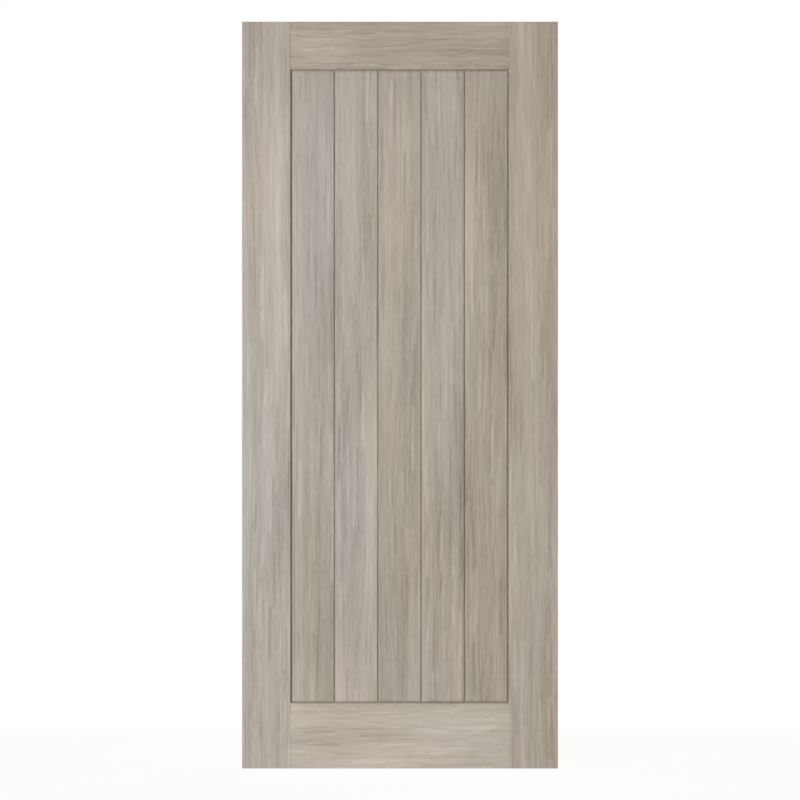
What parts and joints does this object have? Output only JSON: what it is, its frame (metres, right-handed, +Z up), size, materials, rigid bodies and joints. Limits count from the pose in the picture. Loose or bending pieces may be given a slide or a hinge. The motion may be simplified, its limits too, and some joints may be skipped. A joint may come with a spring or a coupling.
{
  "type": "interior door leaf",
  "caption": "Interior door leaf with vertical V-jointed boards set between two stiles and two rails, in pale grey-beige wood-grain laminate.",
  "frame": {"origin": "foot of the hinge edge: the outer face of the left long edge, seen from the front, at mid-thickness", "axes": "+X across the leaf from the hinge edge to the lock edge, +Y through the thickness from the front face to the back face, +Z up"},
  "size_m": [0.838, 0.035, 1.981],
  "materials": {
    "laminate": "pale grey-beige wood-grain laminate over fibreboard, matt, finely embossed along the grain",
    "stile_core": "laminated softwood, sawn",
    "lipping": "planed softwood",
    "panel_core": "fibreboard, unfinished",
    "dowel": "beech, plain"
  },
  "bodies": {
    "root": {"left_stile_core": "stile_core", "right_stile_core": "stile_core", "top_rail_core": "stile_core", "bottom_rail_core": "stile_core", "left_lipping": "lipping", "right_lipping": "lipping", "left_edge_band": "laminate", "right_edge_band": "laminate", "left_stile_front_facing": "laminate", "right_stile_front_facing": "laminate", "left_stile_back_facing": "laminate", "right_stile_back_facing": "laminate", "top_rail_front_facing": "laminate", "bottom_rail_front_facing": "laminate", "top_rail_back_facing": "laminate", "bottom_rail_back_facing": "laminate", "front_board_1": "laminate", "front_board_2": "laminate", "front_board_3": "laminate", "front_board_4": "laminate", "front_board_5": "laminate", "back_board_1": "laminate", "back_board_2": "laminate", "back_board_3": "laminate", "back_board_4": "laminate", "back_board_5": "laminate", "panel_core": "panel_core", "top_rail_dowels": "dowel", "bottom_rail_dowels": "dowel"}
  },
  "joints": []
}
